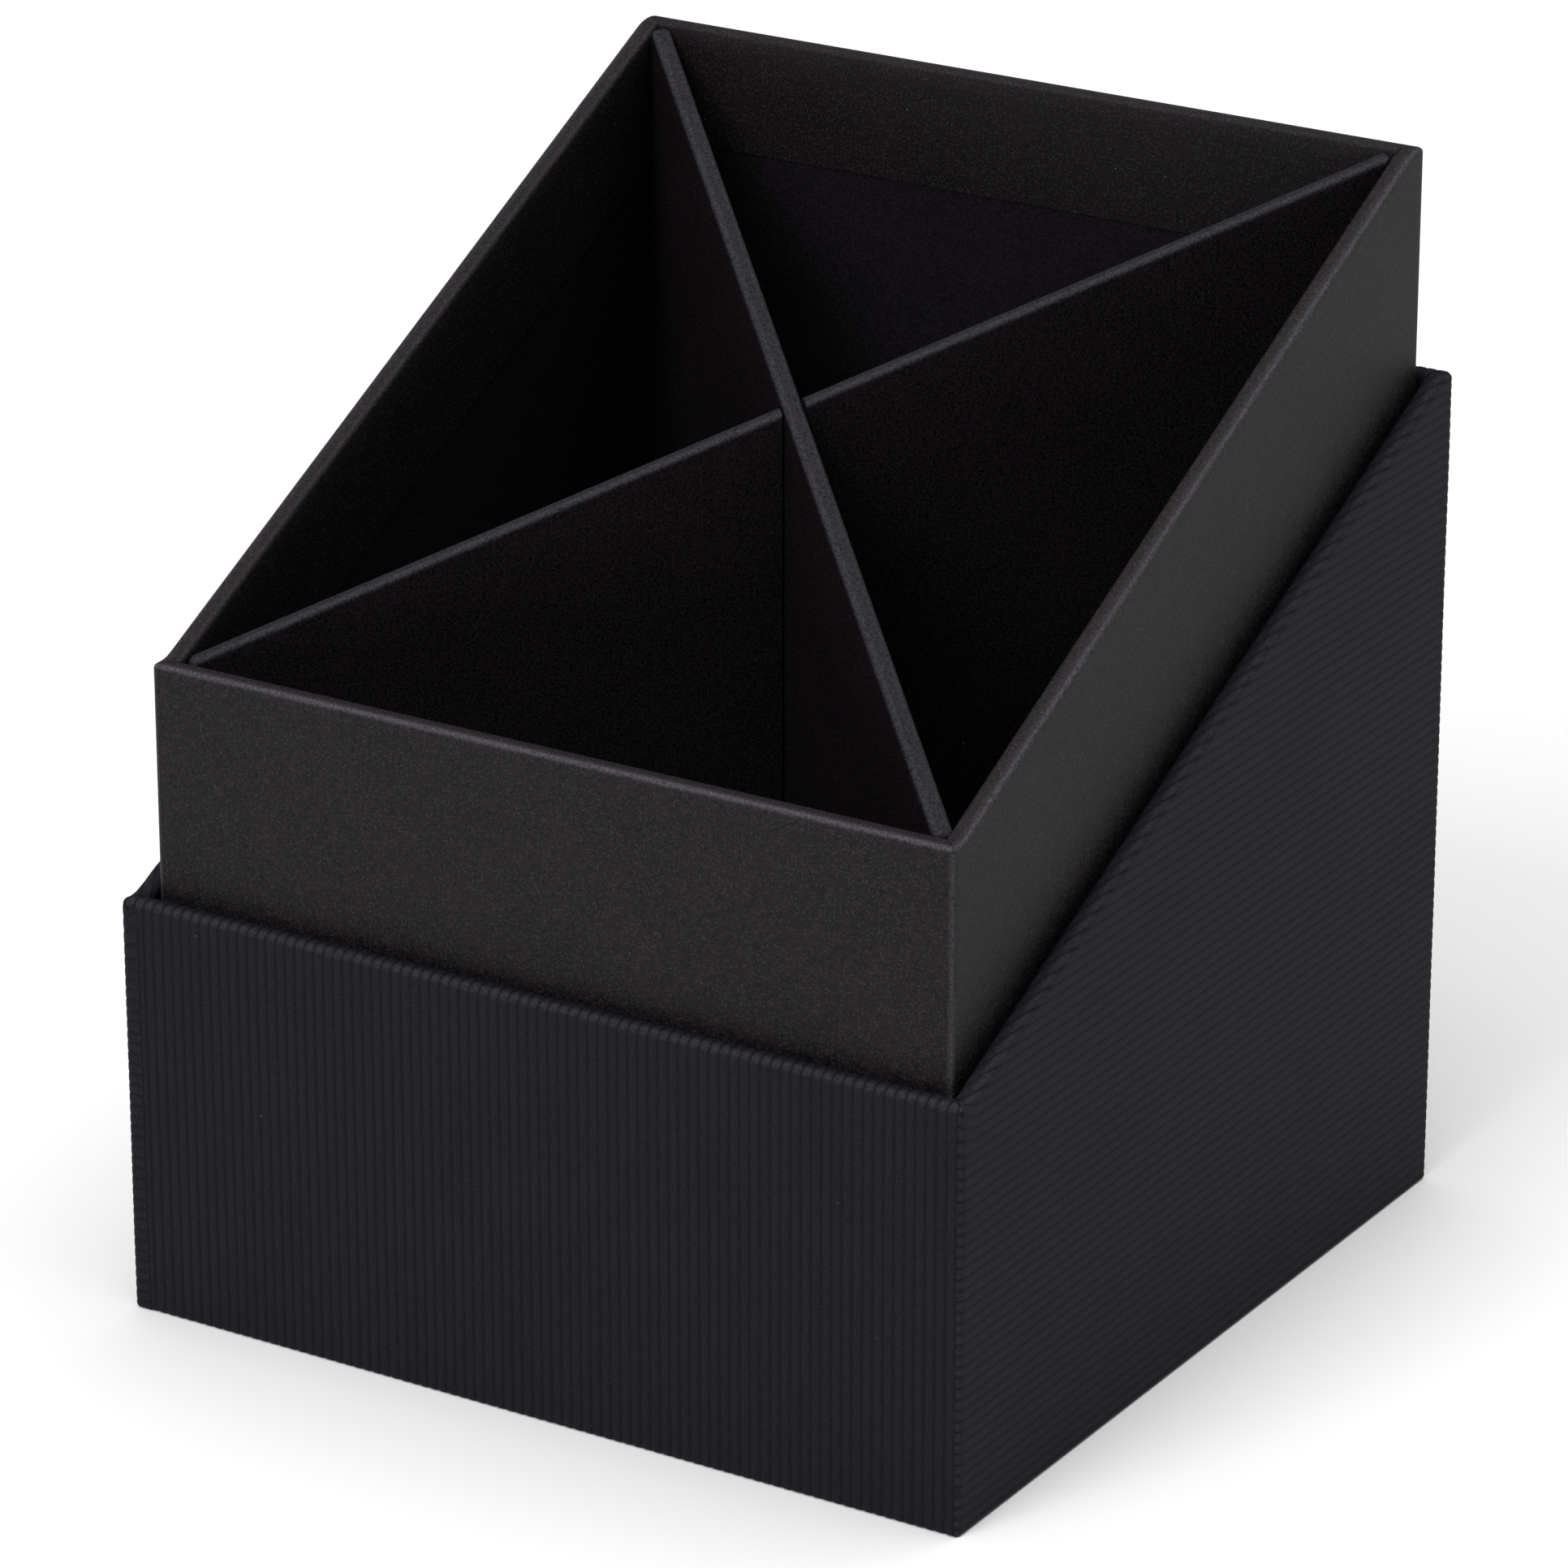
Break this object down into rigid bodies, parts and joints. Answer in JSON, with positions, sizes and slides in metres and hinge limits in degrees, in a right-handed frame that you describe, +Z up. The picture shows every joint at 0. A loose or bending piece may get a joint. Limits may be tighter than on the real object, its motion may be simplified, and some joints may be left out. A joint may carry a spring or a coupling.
{
  "type": "desk pen holder",
  "caption": "Slant-topped desk pen holder: a plain paper-covered box stands in a shorter ribbed box, and crossed lift-out dividers split it into three-cornered wells.",
  "frame": {"origin": "middle of the underside, on the surface the holder stands on", "axes": "+X to the right along the low front, +Y towards the high back, +Z up"},
  "size_m": [0.095, 0.095, 0.111],
  "materials": {
    "greyboard": "raw pressed greyboard",
    "corner_tape": "brown gummed paper tape",
    "ribbed_paper": "matt black paper embossed with fine parallel ribs",
    "plain_paper": "satin black paper with fine pearl flecks",
    "lining_paper": "matt black lining paper"
  },
  "bodies": {
    "outer_box": {"outer_base_board": "greyboard", "outer_front_board": "greyboard", "outer_back_board": "greyboard", "outer_left_board": "greyboard", "outer_right_board": "greyboard", "outer_corner_stay_front_left": "corner_tape", "outer_corner_stay_front_right": "corner_tape", "outer_corner_stay_back_left": "corner_tape", "outer_corner_stay_back_right": "corner_tape", "outer_wrap_base": "ribbed_paper", "outer_wrap_front": "ribbed_paper", "outer_wrap_back": "ribbed_paper", "outer_wrap_left": "ribbed_paper", "outer_wrap_right": "ribbed_paper"},
    "inner_box": {"inner_base_board": "greyboard", "inner_front_board": "greyboard", "inner_back_board": "greyboard", "inner_left_board": "greyboard", "inner_right_board": "greyboard", "inner_corner_stay_front_left": "corner_tape", "inner_corner_stay_front_right": "corner_tape", "inner_corner_stay_back_left": "corner_tape", "inner_corner_stay_back_right": "corner_tape", "inner_wrap_base": "plain_paper", "inner_wrap_front": "plain_paper", "inner_wrap_back": "plain_paper", "inner_wrap_left": "plain_paper", "inner_wrap_right": "plain_paper", "inner_lining_base": "lining_paper", "inner_lining_front": "lining_paper", "inner_lining_back": "lining_paper", "inner_lining_left": "lining_paper", "inner_lining_right": "lining_paper"},
    "lower_divider": {"lower_divider_board": "greyboard", "lower_divider_cover": "plain_paper"},
    "upper_divider": {"upper_divider_board": "greyboard", "upper_divider_cover": "plain_paper"}
  },
  "joints": [
    {"name": "inner_box_lift", "type": "slide", "parent": "outer_box", "child": "inner_box", "axis": [0, 0, 1], "range_m": [0, 0.09]},
    {"name": "lower_divider_lift", "type": "slide", "parent": "inner_box", "child": "lower_divider", "axis": [0, 0, 1], "range_m": [0, 0.11]},
    {"name": "upper_divider_lift", "type": "slide", "parent": "lower_divider", "child": "upper_divider", "axis": [0, 0, 1], "range_m": [0, 0.11]}
  ]
}
